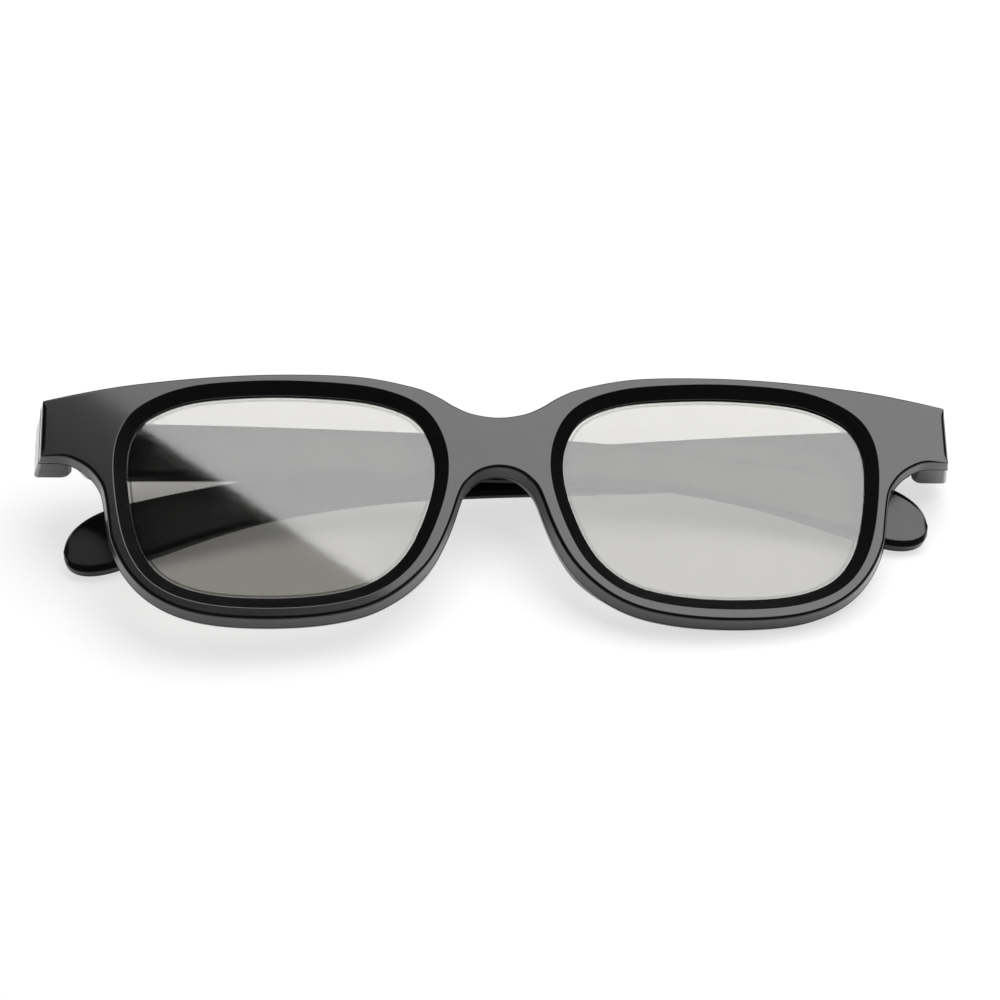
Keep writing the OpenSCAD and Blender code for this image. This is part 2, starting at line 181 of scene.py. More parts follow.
def rim_run():
    """Outside of the right rim from the top round: the lens opening moved out along its normal.

    The step is the side's width times n_x^2 plus the top's or bottom's times n_y^2, less a pinch of
    4 n_x^2 n_y^2 at the slanting places.
    """
    m = LENS_N
    side = np.where(m[:, 0] > 0, RIM_NOSE, RIM_SIDE)
    ends = np.where(m[:, 1] > 0, RIM_TOP, RIM_BOTTOM)
    wide = m[:, 0] ** 2 * side + m[:, 1] ** 2 * ends - 4 * m[:, 0] ** 2 * m[:, 1] ** 2 * RIM_PINCH
    run = LENS + m * wide[:, None] + [-LENS_X, 0]
    return np.roll(run, -np.argmax(run[:, 1]), 0)


# Brow: distance from the middle, and share of the rise to the crown from the bridge or the endpiece.
BROW_IN = [
    (0.7 * NOSE_X, 0.08), (NOSE_X + 1.15, 0.255), (NOSE_X + 4.1, 0.51), (mix(NOSE_X, LENS_X, 0.275), 0.73),
    (mix(NOSE_X, LENS_X, 0.56), 0.96), (mix(NOSE_X, LENS_X, 0.945), 1.01),
]
BROW_OUT = [
    (mix(LENS_X, END_X, 0.274), 0.91), (mix(LENS_X, END_X, 0.603), 0.63), (mix(LENS_X, END_X, 0.84), 0.3),
    (END_X, 0),
]

# Curves under an endpiece and beside the nose, in sweeps from where the rim's side meets the edge above.
END_BEND = [(-0.806, 0.019), (-0.556, -0.038), (-0.24, -0.225), (-0.006, -0.506), (0.106, -0.825)]
NOSE_BEND = [(-0.06, -0.74), (0.24, -0.36), (0.55, -0.14), (0.87, -0.03)]

# Heights between which the outline is the rim's own curve, and how the outline is softened and stepped.
RIM_FROM_Y, RIM_TO_Y = -7.2, -3.4
OUTLINE_SOFT, FINE_STEPS, CROWDING = 0.15, 4000, 5


def brow_run():
    """Upper edge from the middle of the bridge to the endpiece's corner, half of a symmetric curve."""
    brow = [(-x, mix(BRIDGE_TOP, CROWN, f)) for x, f in BROW_IN]
    brow += [(-x, mix(END_TOP, CROWN, f)) for x, f in BROW_OUT]
    run = spline([(-x, y) for x, y in brow[::-1]] + [(0, BRIDGE_TOP)] + brow, 40, False)
    return run[len(run) // 2:]


def half_outline(count=860):
    """Outside of the front's right half and its normals, from the bridge's top round to its bottom.

    Brow, curve under the endpiece, rim and nose arch are joined, mirrored, made even and softened. Then
    `count` points are kept, up to six times as dense within a millimetre of the endpiece's corners.
    """
    per = 30
    rim = rim_run()
    outer, inner = rim[:, 0] < -LENS_X, rim[:, 0] > -LENS_X
    leave = np.argmax(outer & (rim[:, 1] < RIM_FROM_Y))
    back = np.argmax(inner & (rim[:, 1] > RIM_TO_Y) & (np.arange(len(rim)) > leave))
    bend = np.array(END_BEND) * END_SWEEP + [-SIDE_X, END_BOTTOM]
    under = np.vstack([END_CORNERS[1:], bend, rim[[leave, leave + 4]]])
    under = spline(under, per, False)[:-per]
    bend = np.array(NOSE_BEND) * NOSE_SWEEP + [-NOSE_X, BRIDGE_BOTTOM]
    arch = np.vstack([rim[[back - 4, back]], bend])
    arch = spline(np.vstack([arch, [[0, BRIDGE_BOTTOM]], arch[::-1] * [-1, 1]]), per, False)
    arch = arch[per:len(arch) // 2 + 1]
    half = np.vstack([brow_run(), under, rim[leave + 1:back], arch])
    whole = np.vstack([half, half[-2::-1] * [-1, 1]])
    fine = blur(even(whole, 2 * FINE_STEPS + 1)[:-1], OUTLINE_SOFT, lengths(whole)[-1])
    both = np.hstack([fine, outward(fine)])[:FINE_STEPS + 1]
    near = np.linalg.norm(both[:, None, :2] - END_CORNERS, axis=2).min(1)
    place = np.cumsum(1 + CROWDING * np.exp(-near**2))
    step = np.arange(len(both))
    keep = np.interp(np.linspace(place[0], place[-1], count), place, step)
    both = np.stack([np.interp(keep, step, both[:, c]) for c in range(4)], 1)
    run, side = both[:, :2], both[:, 2:]
    run[[0, -1], 0] = 0
    side[[0, -1]] = [[0, 1], [0, -1]]
    return run, side


HALF, HALF_N = half_outline()
BRIDGE_STEPS = 40

# Along the half outline: 1 from the rim's side on and 0 at the endpiece's end; 0 at the hinge block's inner
# side and 1 at the end; and 1 only where the outline runs along the end.
AWAY = np.clip((END_X + HALF[:, 0]) / (END_X - SIDE_X), 0, 1)
FLARE = np.clip((-HALF[:, 0] - BLOCK_X) / (END_X - BLOCK_X), 0, 1)
AT_END = HALF_N[:, 0] ** 2 * FLARE

# Softened edge of the face: finer along the top, wider at the end, nearly gone at the end's corners.
FINER_TOP, WIDER_END, LESS_AT_CORNER = 0.5, 0.4, 0.8
TO_CORNER = np.linalg.norm(HALF[:, None] - END_CORNERS, axis=2).min(1)
CORNER_REACH = mix(3.0, 0.9, AT_END)
EDGE_AT = EDGE * (1 - FINER_TOP * np.clip(HALF_N[:, 1], 0, 1)) * (1 + WIDER_END * AT_END)
EDGE_AT = EDGE_AT * (1 - LESS_AT_CORNER * np.exp(-((TO_CORNER / CORNER_REACH) ** 2)))

# Where the hinge block covers the plate's side, and where the nose rest stands.
BLOCK_LEAD, BLOCK_EASE = 1.6, 1.4
ON_BLOCK = smooth((-HALF[:, 0] - BLOCK_X + BLOCK_LEAD) / BLOCK_EASE)
TO_BRIDGE = lengths(HALF)[-1] - lengths(HALF)
SWELL = smooth((REST_RUN - TO_BRIDGE) / REST_RISE) * np.clip(-HALF[:, 0] / NOSE_X, 0, 1) ** 2

# Heights above the lens centre from which outline and lens are sighted, for the outer and the nose half.
SIGHT_OUTER, SIGHT_NOSE = 14, 9
LEAST_TURN, LEAST_GAP = 2e-4, 2e-3


def sighted(x, y):
    """Running bearing of points about the lens centre, seen from the sighting point of their half."""
    return np.unwrap(np.arctan2(y - np.where(x < 0, SIGHT_OUTER, SIGHT_NOSE), x))


def partner_points():
    """Lens points that face the outline, and their normals: those at the same bearing.

    Bearings are made to rise by a least turn from point to point, and to stay short of a full turn.
    """
    rise = np.linspace(HALF[-1, 1], HALF[0, 1], BRIDGE_STEPS + 2)[1:-1]
    ring = np.vstack([HALF, np.stack([np.zeros(BRIDGE_STEPS), rise], 1)])
    seen = sighted(ring[:, 0] + LENS_X, ring[:, 1])
    creep = np.arange(len(ring)) * LEAST_TURN
    seen = np.maximum.accumulate(seen - creep) + creep
    seen = seen[0] + (seen - seen[0]) * min(1, (2 * np.pi - LEAST_GAP) / (seen[-1] - seen[0]))
    own = sighted(LENS[:, 0], LENS[:, 1])
    own = np.concatenate([own - 2 * np.pi, own, own + 2 * np.pi])
    shape = np.tile(np.hstack([LENS, LENS_N]), (3, 1))
    pick = np.stack([np.interp(seen, own, shape[:, c]) for c in range(4)], 1)
    return pick[:, :2] + [-LENS_X, 0], pick[:, 2:]


PARTNER, PARTNER_N = partner_points()


def ridge(flat):
    """Height of the nose rest on the back: full near the nose arch, then dying away at its side."""
    arch = SWELL > 0
    gap = np.linalg.norm(flat[:, None] - HALF[arch], axis=2)
    near = gap.argmin(1)
    return NOSE_REST * SWELL[arch][near] * (1 - smooth((gap.min(1) - REST_W) / REST_FALL))


def wall_ring(out, z, rest=0.0):
    """Outline moved out by `out` at height z, closed across the bridge.

    The endpiece flares in step with the depth, and a share `rest` of the nose rest carries z further back.
    """
    z = np.broadcast_to(z, len(HALF))
    run = HALF + HALF_N * np.broadcast_to(out, len(HALF))[:, None]
    run = run + np.stack([FLARE * END_FLARE * z / -BACK_Z, 0 * FLARE], 1)
    middle = np.linspace(run[-1], run[0], BRIDGE_STEPS + 2)[1:-1]
    deep = np.concatenate([z - rest * NOSE_REST * SWELL, z[-1] - rest * ridge(middle)])
    return np.hstack([np.vstack([run, middle]), deep[:, None]])


def lens_ring(inset, z):
    """Lens opening moved in by `inset` at height z, at the points that face the outline."""
    flat = PARTNER - PARTNER_N * inset
    return np.hstack([flat, np.full((len(flat), 1), z)])


def grid_faces(rows, cols, close_rows, close_cols):
    """Quads between neighbouring grid points, row by row, with wrapped rows or columns where asked."""
    i = np.arange(rows if close_rows else rows - 1)[:, None]
    j = np.arange(cols if close_cols else cols - 1)[None, :]
    i2, j2 = (i + 1) % rows, (j + 1) % cols
    corners = np.broadcast_arrays(i * cols + j, i * cols + j2, i2 * cols + j2, i2 * cols + j)
    return np.stack(corners, -1).reshape(-1, 4)


def tube(rings, closed=False):
    """Closed rings joined one to the next; an open tube gets a pole at the middle of each end ring."""
    rings = np.asarray(rings, float)
    rows, cols = rings.shape[:2]
    points = rings.reshape(-1, 3)
    faces = grid_faces(rows, cols, closed, True)
    if closed:
        return points, faces
    points = np.vstack([points, rings[0].mean(0), rings[-1].mean(0)])
    j = np.arange(cols)
    low = np.stack([j, np.full(cols, rows * cols), np.roll(j, -1), np.roll(j, -1)], 1)
    top = (rows - 1) * cols
    high = np.stack([top + np.roll(j, -1), np.full(cols, rows * cols + 1), top + j, top + j], 1)
    return points, np.vstack([faces, low, high])


def as_made(points, faces):
    """The surface where it is, on the right side."""
    return points, faces


def mirrored(points, faces):
    """The surface on the other side of the nose, its faces turned round so that they still point out."""
    return points * [-1, 1, 1], faces[:, ::-1]


def together(parts):
    """Several surfaces as one list of points and faces."""
    shift = np.cumsum([0] + [len(p) for p, f in parts])
    return np.vstack([p for p, f in parts]), np.vstack([f + s for (p, f), s in zip(parts, shift)])


# Points closer than this, in metres, are one; edges meeting at more than this angle stay sharp.
MERGE, SLIVER, SHARP = 2e-7, 1e-7, np.radians(34.0)


def piece(name, surface, finish, body, node):
    """Puts a surface in mm into a mesh on the table, merges seams and poles, and hands it to its body."""
    points, faces = surface
    mesh = bpy.data.meshes.new(name)
    twice = faces == np.roll(faces, -1, 1)
    fan = twice.any(1)
    tris = faces[fan][~twice[fan]].reshape(-1, 3)
    mesh.from_pydata(on_table(points), [], faces[~fan].tolist() + tris.tolist())
    work = bmesh.new()
    work.from_mesh(mesh)
    bmesh.ops.remove_doubles(work, verts=work.verts, dist=MERGE)
    bmesh.ops.dissolve_degenerate(work, edges=work.edges, dist=SLIVER)
    bmesh.ops.recalc_face_normals(work, faces=work.faces)
    work.to_mesh(mesh)
    work.free()
    mesh.shade_smooth()
    mesh.set_sharp_from_angle(angle=SHARP)
    made = bpy.data.objects.new(name, mesh)
    bpy.context.scene.collection.objects.link(made)
    mesh.materials.append(finish)
    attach(made, body)
    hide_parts(node)
    return made


# Side wall from the back edge up over the parting bead: share of the draft, step out, 1 where the wall
# tucks in behind the hinge block, z, share of the nose rest.
WALL = [
    (0.5, -0.42, 1, -FRONT_T, 1), (0.5, -0.2, 1, -FRONT_T + 0.05, 1), (0.5, -0.06, 1, -FRONT_T + 0.18, 1),
    (0.52, 0, 1, -FRONT_T + 0.45, 1), (0.8, 0, 1, PARTING_Z - 0.5, 0.25),
    (1, -0.02, 1, PARTING_Z - 0.08, 0), (1, 0.045, 0, PARTING_Z - 0.03, 0),
    (1, 0.045, 0, PARTING_Z + 0.03, 0), (1, -0.01, 0, PARTING_Z + 0.07, 0),
]
TUCK = -0.9

# Share of the draft left where the edge starts to turn, and the flat margin between edge and face.
DRAFT_LEFT, EDGE_MARGIN = 0.17, 0.04
ON_MIDDLE = 1e-6

# Bezel, lip and pocket from the face in: inset from the lens opening, and z.
BOWL = [
    (-0.11, 0.0), (-0.1, 0.0), (-0.02, -0.012), (0.05, -0.05), (0.07, -0.062),
    (BEZEL_W - 0.29, -BEZEL_D + 0.176), (BEZEL_W - 0.27, -BEZEL_D + 0.164),
    (BEZEL_W - 0.13, -BEZEL_D + 0.06), (BEZEL_W - 0.04, -BEZEL_D - 0.06), (BEZEL_W, -BEZEL_D - 0.2),
    (BEZEL_W, SEAT_Z), (POCKET, SEAT_Z), (POCKET, -FRONT_T + 0.2), (POCKET - 0.15, -FRONT_T),
]

# Shares of the way at which the draft, the face and the back get a ring.
DRAFT_STEPS = (0.96, 0.7, 0.4, 0.2)
FACE_STEPS = (0.25, 0.5, 0.75)
BACK_STEPS = (0.2, 0.4, 0.56, 0.68, 0.78, 0.87, 0.95)


def edge_ring(t):
    """Ring at angle t of the quarter round that carries what is left of the draft over into the face."""
    out = DRAFT * AWAY * DRAFT_LEFT * np.cos(t) - EDGE_AT * (1 - np.cos(t))
    return wall_ring(out, -EDGE_AT * (1 - np.sin(t)))


def front_shell():
    """Section carried round the right half: side wall, softened edge, face, bezel, lip, pocket and back."""
    side = DRAFT * AWAY
    wall = [wall_ring(side * f + out + TUCK * ON_BLOCK * tuck, z, rest) for f, out, tuck, z, rest in WALL]
    wall += [wall_ring(side * t, PARTING_Z * t) for t in DRAFT_STEPS]
    wall += [edge_ring(t) for t in np.linspace(0.05, np.pi / 2, 9)]
    wall += [wall_ring(-EDGE_AT - EDGE_MARGIN, 0.0)]
    bowl = [lens_ring(inset, z) for inset, z in BOWL]
    face = [mix(wall[-1], bowl[0], t) for t in FACE_STEPS]
    back = [mix(bowl[-1], wall[0], t)[:, :2] for t in BACK_STEPS]
    back = [np.hstack([flat, (-FRONT_T - ridge(flat))[:, None]]) for flat in back]
    points, faces = tube(wall + face + bowl + back, closed=True)
    inner = (np.abs(points[:, 0]) < ON_MIDDLE)[faces].all(1)
    return points, faces[~inner]


TINY = 1e-9
ROUND_MOST, FLAT_STEP = 0.48, 0.015


def rounded(corners, radius, steps=6):
    """Corner points (..., n, 2) with each corner a parabola, and a point on the flat at both its ends.

    A parabola leaves its sides `radius` before the corner, or just short of the middle of a short side.
    """
    back = np.roll(corners, 1, -2) - corners
    on = np.roll(corners, -1, -2) - corners
    back_l = np.linalg.norm(back, axis=-1, keepdims=True)
    on_l = np.linalg.norm(on, axis=-1, keepdims=True)
    radius = np.minimum(radius, ROUND_MOST * np.minimum(back_l, on_l))
    a = corners + back / np.maximum(back_l, TINY) * radius
    b = corners + on / np.maximum(on_l, TINY) * radius
    t = np.linspace(0, 1, steps)[:, None]
    a_side, corner, b_side = (v[..., None, :] for v in (a, corners, b))
    run = a_side * (1 - t) ** 2 + 2 * corner * t * (1 - t) + b_side * t**2
    before = a + back * FLAT_STEP
    after = b + on * FLAT_STEP
    run = np.concatenate([before[..., None, :], run, after[..., None, :]], -2)
    return run.reshape(*corners.shape[:-2], -1, 2)


def raised(plans, heights):
    """Each plan outline (x, z) at its own height y."""
    y = np.broadcast_to(np.asarray(heights, float)[:, None], plans.shape[:2])
    return np.stack([plans[..., 0], y, plans[..., 1]], -1)


def stack(plan, heights, insets):
    """Plan outline (x, z) at each height y, moved in along its normals by each inset."""
    d = np.roll(plan, -1, 0) - np.roll(plan, 1, 0)
    n = np.stack([d[:, 1], -d[:, 0]], 1)
    n /= np.maximum(np.linalg.norm(n, axis=1, keepdims=True), TINY)
    n *= np.sign(np.sum(plan[:, 0] * np.roll(plan[:, 1], -1) - np.roll(plan[:, 0], -1) * plan[:, 1]))
    return raised(plan - n * np.asarray(insets, float)[:, None, None], heights)


def outer_x(z):
    """Outside of the right endpiece at depth z: it flares out evenly towards the back."""
    return -END_X + END_FLARE * z / -BACK_Z


def arc(x, z, radius, start, end, count):
    """Points of a circle in plan between two bearings in degrees."""
    t = np.radians(np.linspace(start, end, count))
    return np.stack([x + radius * np.cos(t), z + radius * np.sin(t)], 1)


def drawn_in(plan, insets):
    """Hinge block plan moved in by each inset.

    The knuckle's round shrinks towards its pin, and the straight sides cut off what lies past them.
    """
    d = np.asarray(insets, float)[:, None]
    x, z = plan.T
    turn = (x > -HINGE_X) & (z < HINGE_Z)
    less = np.where(turn, 1 - d / KNUCKLE, 1)
    x = -HINGE_X + (x + HINGE_X) * less
    z = np.clip(HINGE_Z + (z - HINGE_Z) * less, BACK_Z + d, BLOCK_Z - d)
    x = np.clip(x, outer_x(z) + d, -HINGE_X + KNUCKLE - d)
    return np.stack([x, z], -1)


# Softened chamfer at the closed end of an ear: height above the end, and inset.
EAR_CHAMFER = np.array([
    (0, 0.7), (0, 0.65), (0.03, 0.5), (0.1, 0.4), (0.12, 0.383), (0.48, 0.077), (0.5, 0.06), (0.6, 0.015),
    (0.75, 0), (0.8, 0),
])
CHEEK_LAP, CHEEK_EASE, BLOCK_INSET = 0.2, 0.01, 0.05


def right_endpiece():
    """Hinge block: chamfered ears below and above, and between them a wall round the tongue's slot."""
    inner = -HINGE_X + KNUCKLE
    outer = np.array([[outer_x(BACK_Z), BACK_Z], [outer_x(BLOCK_Z) + BLOCK_INSET, BLOCK_Z]])
    ear = np.vstack([arc(-HINGE_X, HINGE_Z, KNUCKLE, 0, -90, 24), outer, [[inner, BLOCK_Z]]])
    cheek = np.vstack([
        [[-HINGE_X - KNUCKLE, BACK_Z]], outer, [[inner, BLOCK_Z]], [[inner, HINGE_Z + SLOT_WEB]],
        arc(-HINGE_X, HINGE_Z, KNUCKLE, SLOT_BEARING, 180, 24),
    ])
    low, high = HINGE_Y - SLOT_H / 2, HINGE_Y + SLOT_H / 2
    plan = even(np.vstack([ear, ear[:1]]), PLAN_POINTS + 1)
    plan = blur(plan[:-1], PLAN_SOFT, lengths(plan)[-1])
    bottom, top = END_BOTTOM + END_STEP, END_TOP - END_STEP
    lower = raised(drawn_in(plan, EAR_CHAMFER[:, 1]), bottom + EAR_CHAMFER[:, 0])
    lower = np.concatenate([lower, raised(drawn_in(plan, [0]), [low])])
    upper = lower * [1, -1, 1] + [0, bottom + top, 0]
    cheek = even(np.vstack([cheek, cheek[:1]]), PLAN_POINTS + 1)[:-1]
    heights = [low - CHEEK_LAP, low, high, high + CHEEK_LAP]
    wall = stack(cheek, heights, [CHEEK_EASE, 0, 0, CHEEK_EASE])
    return together([tube(lower), tube(wall), tube(upper[::-1])])


def along(table, s):
    """Smooth value of a (place, value) table: cubics whose slopes are those between a point's neighbours."""
    x, v = np.array(table, float).T
    slope = np.gradient(v, x)
    slope[1:-1] = (v[2:] - v[:-2]) / (x[2:] - x[:-2])
    k = np.clip(np.searchsorted(x, s, side="right") - 1, 0, len(x) - 2)
    h = x[k + 1] - x[k]
    t = (s - x[k]) / h
    ends = (2 * t**3 - 3 * t**2 + 1) * v[k] + (3 * t**2 - 2 * t**3) * v[k + 1]
    return ends + (t**3 - 2 * t**2 + t) * slope[k] * h + (t**3 - t**2) * slope[k + 1] * h


# Along the temple, by share of its length: share of the tip's drop, share of its height, and thickness.
TEMPLE_LINE = [
    (0, 0), (0.2, 0.036), (0.4, 0.1), (0.6, 0.19), (0.72, 0.327), (0.81, 0.49), (0.91, 0.745), (1, 1),
]
TEMPLE_TALL = [
    (0, 0.86), (0.2, 0.805), (0.4, 0.74), (0.6, 0.645), (0.72, 0.645), (0.81, 0.74), (0.91, 0.9), (1, 1),
]
TEMPLE_THIN = [(0, 2.9), (0.18, 2.9), (0.5, 2.0), (0.79, 2.0), (0.9, 3.0), (1, 3.0)]

# First rings after the shoulder: distance from it, and share of the full section. Then the even rings.
ROOT_STEPS = np.array([0.0, 0.06, 0.2, 0.45])
ROOT_SHARE = [0.9, 0.955, 0.985, 1.0]
BAR_START, BAR_RINGS, TIP_RINGS = 1.0, 150, 36
# Most of a side that its bevels take, depth of a bevel by its width, and least parts left at the very tip.
BEVEL_MOST, BEVEL_DEPTH = 0.36, 0.6
LEAST_TALL, LEAST_THICK = 0.0004, 0.02


def quarter(s, run):
    """Quarter round that cuts `run` off at the shoulder and nothing from `run` past it on."""
    ease = np.clip((s - SHOULDER) / run, 0, 1)
    return run * (1 - np.sqrt(np.maximum(0, 1 - (1 - ease) ** 2)))


def temple_edges(s):
    """Upper and lower edge, inner and outer face of the temple at distances s from the pin.

    Towards the tip the height follows (1 - u^p)^(1/p), u going from 0 to 1 over the tip's round, and the
    last tenth of the round thins like a quarter circle to what is left at its end.
    """
    f = s / TEMPLE_L
    middle = (ROOT_UP - ROOT_DOWN) / 2 * (1 - f) - TIP_DROP * along(TEMPLE_LINE, f)
    into = np.clip((s - (TEMPLE_L - TIP_ROUND)) / TIP_ROUND, 0, 1)
    half = TIP_H / 2 * along(TEMPLE_TALL, f)
    half = half * np.maximum(LEAST_TALL, 1 - into**TIP_POWER) ** (1 / TIP_POWER)
    thick = np.interp(f, *np.array(TEMPLE_THIN).T)
    centre = -TEMPLE_IN - thick / 2
    last = np.clip((into - TIP_THINS_AT) / (1 - TIP_THINS_AT), 0, 1)
    thin = TIP_LEFT + (1 - TIP_LEFT) * np.sqrt(np.maximum(LEAST_THICK, 1 - last**2))
    thick = thick * thin
    top, bottom = middle + half - quarter(s, ROUND_HIGH), middle - half + quarter(s, ROUND_LOW)
    return top, bottom, centre + thick / 2, centre - thick / 2


def temple_body():
    """Eight-cornered section, softened, carried from shoulder to tip: s along, y across, z inwards."""
    s = np.concatenate([
        SHOULDER + ROOT_STEPS,
        np.linspace(SHOULDER + BAR_START, TEMPLE_L - TIP_ROUND, BAR_RINGS)[:-1],
        TEMPLE_L - TIP_ROUND * (1 - np.sin(np.linspace(0, np.pi / 2, TIP_RINGS))),
    ])
    top, bottom, zi, zo = temple_edges(s)
    cut_y = np.minimum(BEVEL, BEVEL_MOST * (top - bottom))
    cut_z = np.minimum(BEVEL_MOST * (zi - zo), BEVEL_DEPTH * BEVEL)
    high, low = top - cut_y, bottom + cut_y
    y = np.stack([high, top, top, high, low, bottom, bottom, low], 1)
    z = np.stack([zi, zi - cut_z, zo + cut_z, zo, zo, zo + cut_z, zi - cut_z, zi], 1)
    ring = rounded(np.stack([y, z], -1), BEVEL_SOFT)
    share = np.ones(len(s))
    share[:len(ROOT_SHARE)] = ROOT_SHARE
    middle = ring.mean(1, keepdims=True)
    ring = middle + (ring - middle) * share[:, None, None]
    place = np.broadcast_to(s[:, None, None], ring.shape[:2] + (1,))
    return tube(np.concatenate([place, ring], -1))


# Softened edges of the tongue: height below its top or above its bottom, and inset.
TONGUE_SOFT = [(0, 0.15), (0.04, 0.04), (0.15, 0)]
TONGUE_POINTS = 140


def tongue():
    """Round end of the hinge and the web that joins it to the shoulder, stacked along the pin."""
    web = np.degrees(np.arctan2(WEB_Z, np.sqrt(TONGUE_R**2 - WEB_Z**2)))
    end = SHOULDER + WEB_LAP
    plan = np.vstack([[[end, -TONGUE_R]], arc(0, 0, TONGUE_R, -90, web - 360, 60), [[end, WEB_Z]]])
    plan = even(np.vstack([plan, plan[:1]]), TONGUE_POINTS + 1)[:-1]
    heights = [h - TONGUE_H / 2 for h, inset in TONGUE_SOFT]
    insets = [inset for h, inset in TONGUE_SOFT]
    return tube(stack(plan, heights + [-h for h in heights[::-1]], insets + insets[::-1]))


def swung(points, fold, play):
    """Temple points turned by the play in the temple's plane, folded, and moved to the right hinge."""
    c, s = np.cos(play), np.sin(play)
    x, y, z = points.T
    x, y = c * x - s * y, s * x + c * y
    c, s = np.cos(fold), np.sin(fold)
    return np.stack([c * x + s * z, y, -s * x + c * z], 1) + [-HINGE_X, HINGE_Y, HINGE_Z]


def lens_loop(inset, z):
    """Whole even opening of the right lens moved in by `inset` at height z."""
    flat = LENS - LENS_N * inset + [-LENS_X, 0]
    return np.hstack([flat, np.full((len(flat), 1), z)])


def sheet(front, back, marks=()):
    """Thin sheet cut to the lens shape: flat faces drawn to poles, rings at the marks, a softened edge."""
    rings = [lens_loop(mark, front) for mark in marks]
    rings += [lens_loop(FILM_INSET + FILM_EDGE, front), lens_loop(FILM_INSET, front - FILM_EDGE)]
    rings += [lens_loop(FILM_INSET, back + FILM_EDGE), lens_loop(FILM_INSET + FILM_EDGE, back)]
    return tube(rings)


def dark_band(made):
    """Attribute that is 1 on the polariser's front between the darkened band's inner rings, and 0 elsewhere:
    there the film's tint is made darker.
    """
    place = np.empty(3 * len(made.data.vertices))
    made.data.vertices.foreach_get("co", place)
    away = (place.reshape(-1, 3) - ORIGIN) / MM
    flat = np.stack([-np.abs(away @ ACROSS), away @ UP], 1) + [LENS_X, 0]
    gap = np.linalg.norm(flat[:, None] - LENS, axis=2).min(1)
    slack = 0.01
    within = (gap > DARK_BAND_RINGS[2] - slack) & (gap < DARK_BAND_RINGS[1] + slack)
    inside = within & (away @ OUT > POLARISER_Z - slack)
    line = made.data.attributes.new("dark_band", "FLOAT", "POINT")
    line.data.foreach_set("value", inside.astype(float))


def retainer_ring():
    """Flat ring behind the lens: a bar with eased back edges, carried round the lens opening."""
    return tube([lens_loop(inset, z) for inset, z in RETAINER_SECTION], closed=True)


def shader(name):
    """New node finish: itself, its tree, its main shader and its texture coordinates."""
    made = bpy.data.materials.new(name)
    made.use_nodes = True
    tree = made.node_tree
    return made, tree, tree.nodes["Principled BSDF"], tree.nodes.new("ShaderNodeTexCoord")


def calc(tree, rule, a, b):
    """Result of one sum on two values, each a number or another node's output."""
    made = tree.nodes.new("ShaderNodeMath")
    made.operation = rule
    for value, socket in ((a, made.inputs[0]), (b, made.inputs[1])):
        if isinstance(value, (int, float)):
            socket.default_value = value
        else:
            tree.links.new(value, socket)
    return made.outputs["Value"]


def any_ray(tree, kinds):
    """1 for rays of any of these kinds, and 0 for the rest."""
    path = tree.nodes.new("ShaderNodeLightPath")
    total = path.outputs[kinds[0]]
    for kind in kinds[1:]:
        total = calc(tree, "MAXIMUM", total, path.outputs[kind])
    return total


def noise(tree, coords, scale, detail, rough=0.5):
    """Noise on object coordinates, `scale` waves to the metre."""
    made = tree.nodes.new("ShaderNodeTexNoise")
    made.inputs["Scale"].default_value = scale
    made.inputs["Detail"].default_value = detail
    made.inputs["Roughness"].default_value = rough
    tree.links.new(coords.outputs["Object"], made.inputs["Vector"])
    return made.outputs["Fac"]


def spread(tree, value, low, high, start=0.3, end=0.7):
    """`low` up to `start`, `high` from `end` on, and a straight rise between them."""
    made = tree.nodes.new("ShaderNodeMapRange")
    limits = (("From Min", start), ("From Max", end), ("To Min", low), ("To Max", high))
    for socket, number in limits:
        made.inputs[socket].default_value = number
    tree.links.new(value, made.inputs["Value"])
    return made.outputs["Result"]


def cloudy(tree, value, low, high):
    """Colour that goes from `low` to `high` with a 0 to 1 value."""
    made = tree.nodes.new("ShaderNodeValToRGB")
    made.color_ramp.elements[0].color = tuple(low) + (1,)
    made.color_ramp.elements[1].color = tuple(high) + (1,)
    tree.links.new(value, made.inputs["Fac"])
    return made.outputs["Color"]


def relief(tree, main, height, strength, distance):
    """Bump from a height value onto the main shader's normal."""
    made = tree.nodes.new("ShaderNodeBump")
    made.inputs["Strength"].default_value = strength
    made.inputs["Distance"].default_value = distance
    tree.links.new(height, made.inputs["Height"])
    tree.links.new(made.outputs["Normal"], main.inputs["Normal"])


def blend(tree, share, first, second):
    """Puts the first shader on the surface, or the second where the share is 1."""
    made = tree.nodes.new("ShaderNodeMixShader")
    tree.links.new(share, made.inputs["Fac"])
    tree.links.new(first, made.inputs[1])
    tree.links.new(second, made.inputs[2])
    tree.links.new(made.outputs["Shader"], tree.nodes["Material Output"].inputs["Surface"])


def moulded_black(name, low, high, peel, ior=1.5, polish=0.0):
    """Black moulding: soft cloudy gloss, a share of sharper polish over it, and the mould's orange peel."""
    made, tree, main, coords = shader(name)
    black = cloudy(tree, noise(tree, coords, 90, 4), (0.002, 0.002, 0.0022), (0.0034, 0.0034, 0.0036))
    tree.links.new(black, main.inputs["Base Color"])
    tree.links.new(spread(tree, noise(tree, coords, 240, 5, 0.6), low, high), main.inputs["Roughness"])
    main.inputs["IOR"].default_value = ior
    main.inputs["Coat Weight"].default_value = polish
    main.inputs["Coat Roughness"].default_value = 0.06
    relief(tree, main, noise(tree, coords, 700, 3), peel, 0.0004)
    return made


# Share by which the polariser's tint is darkened on the band near the lens edge, and the least share of the
# tint's random clouding.
BAND_DARKENING, CLOUD_LEAST = 0.8, 0.985


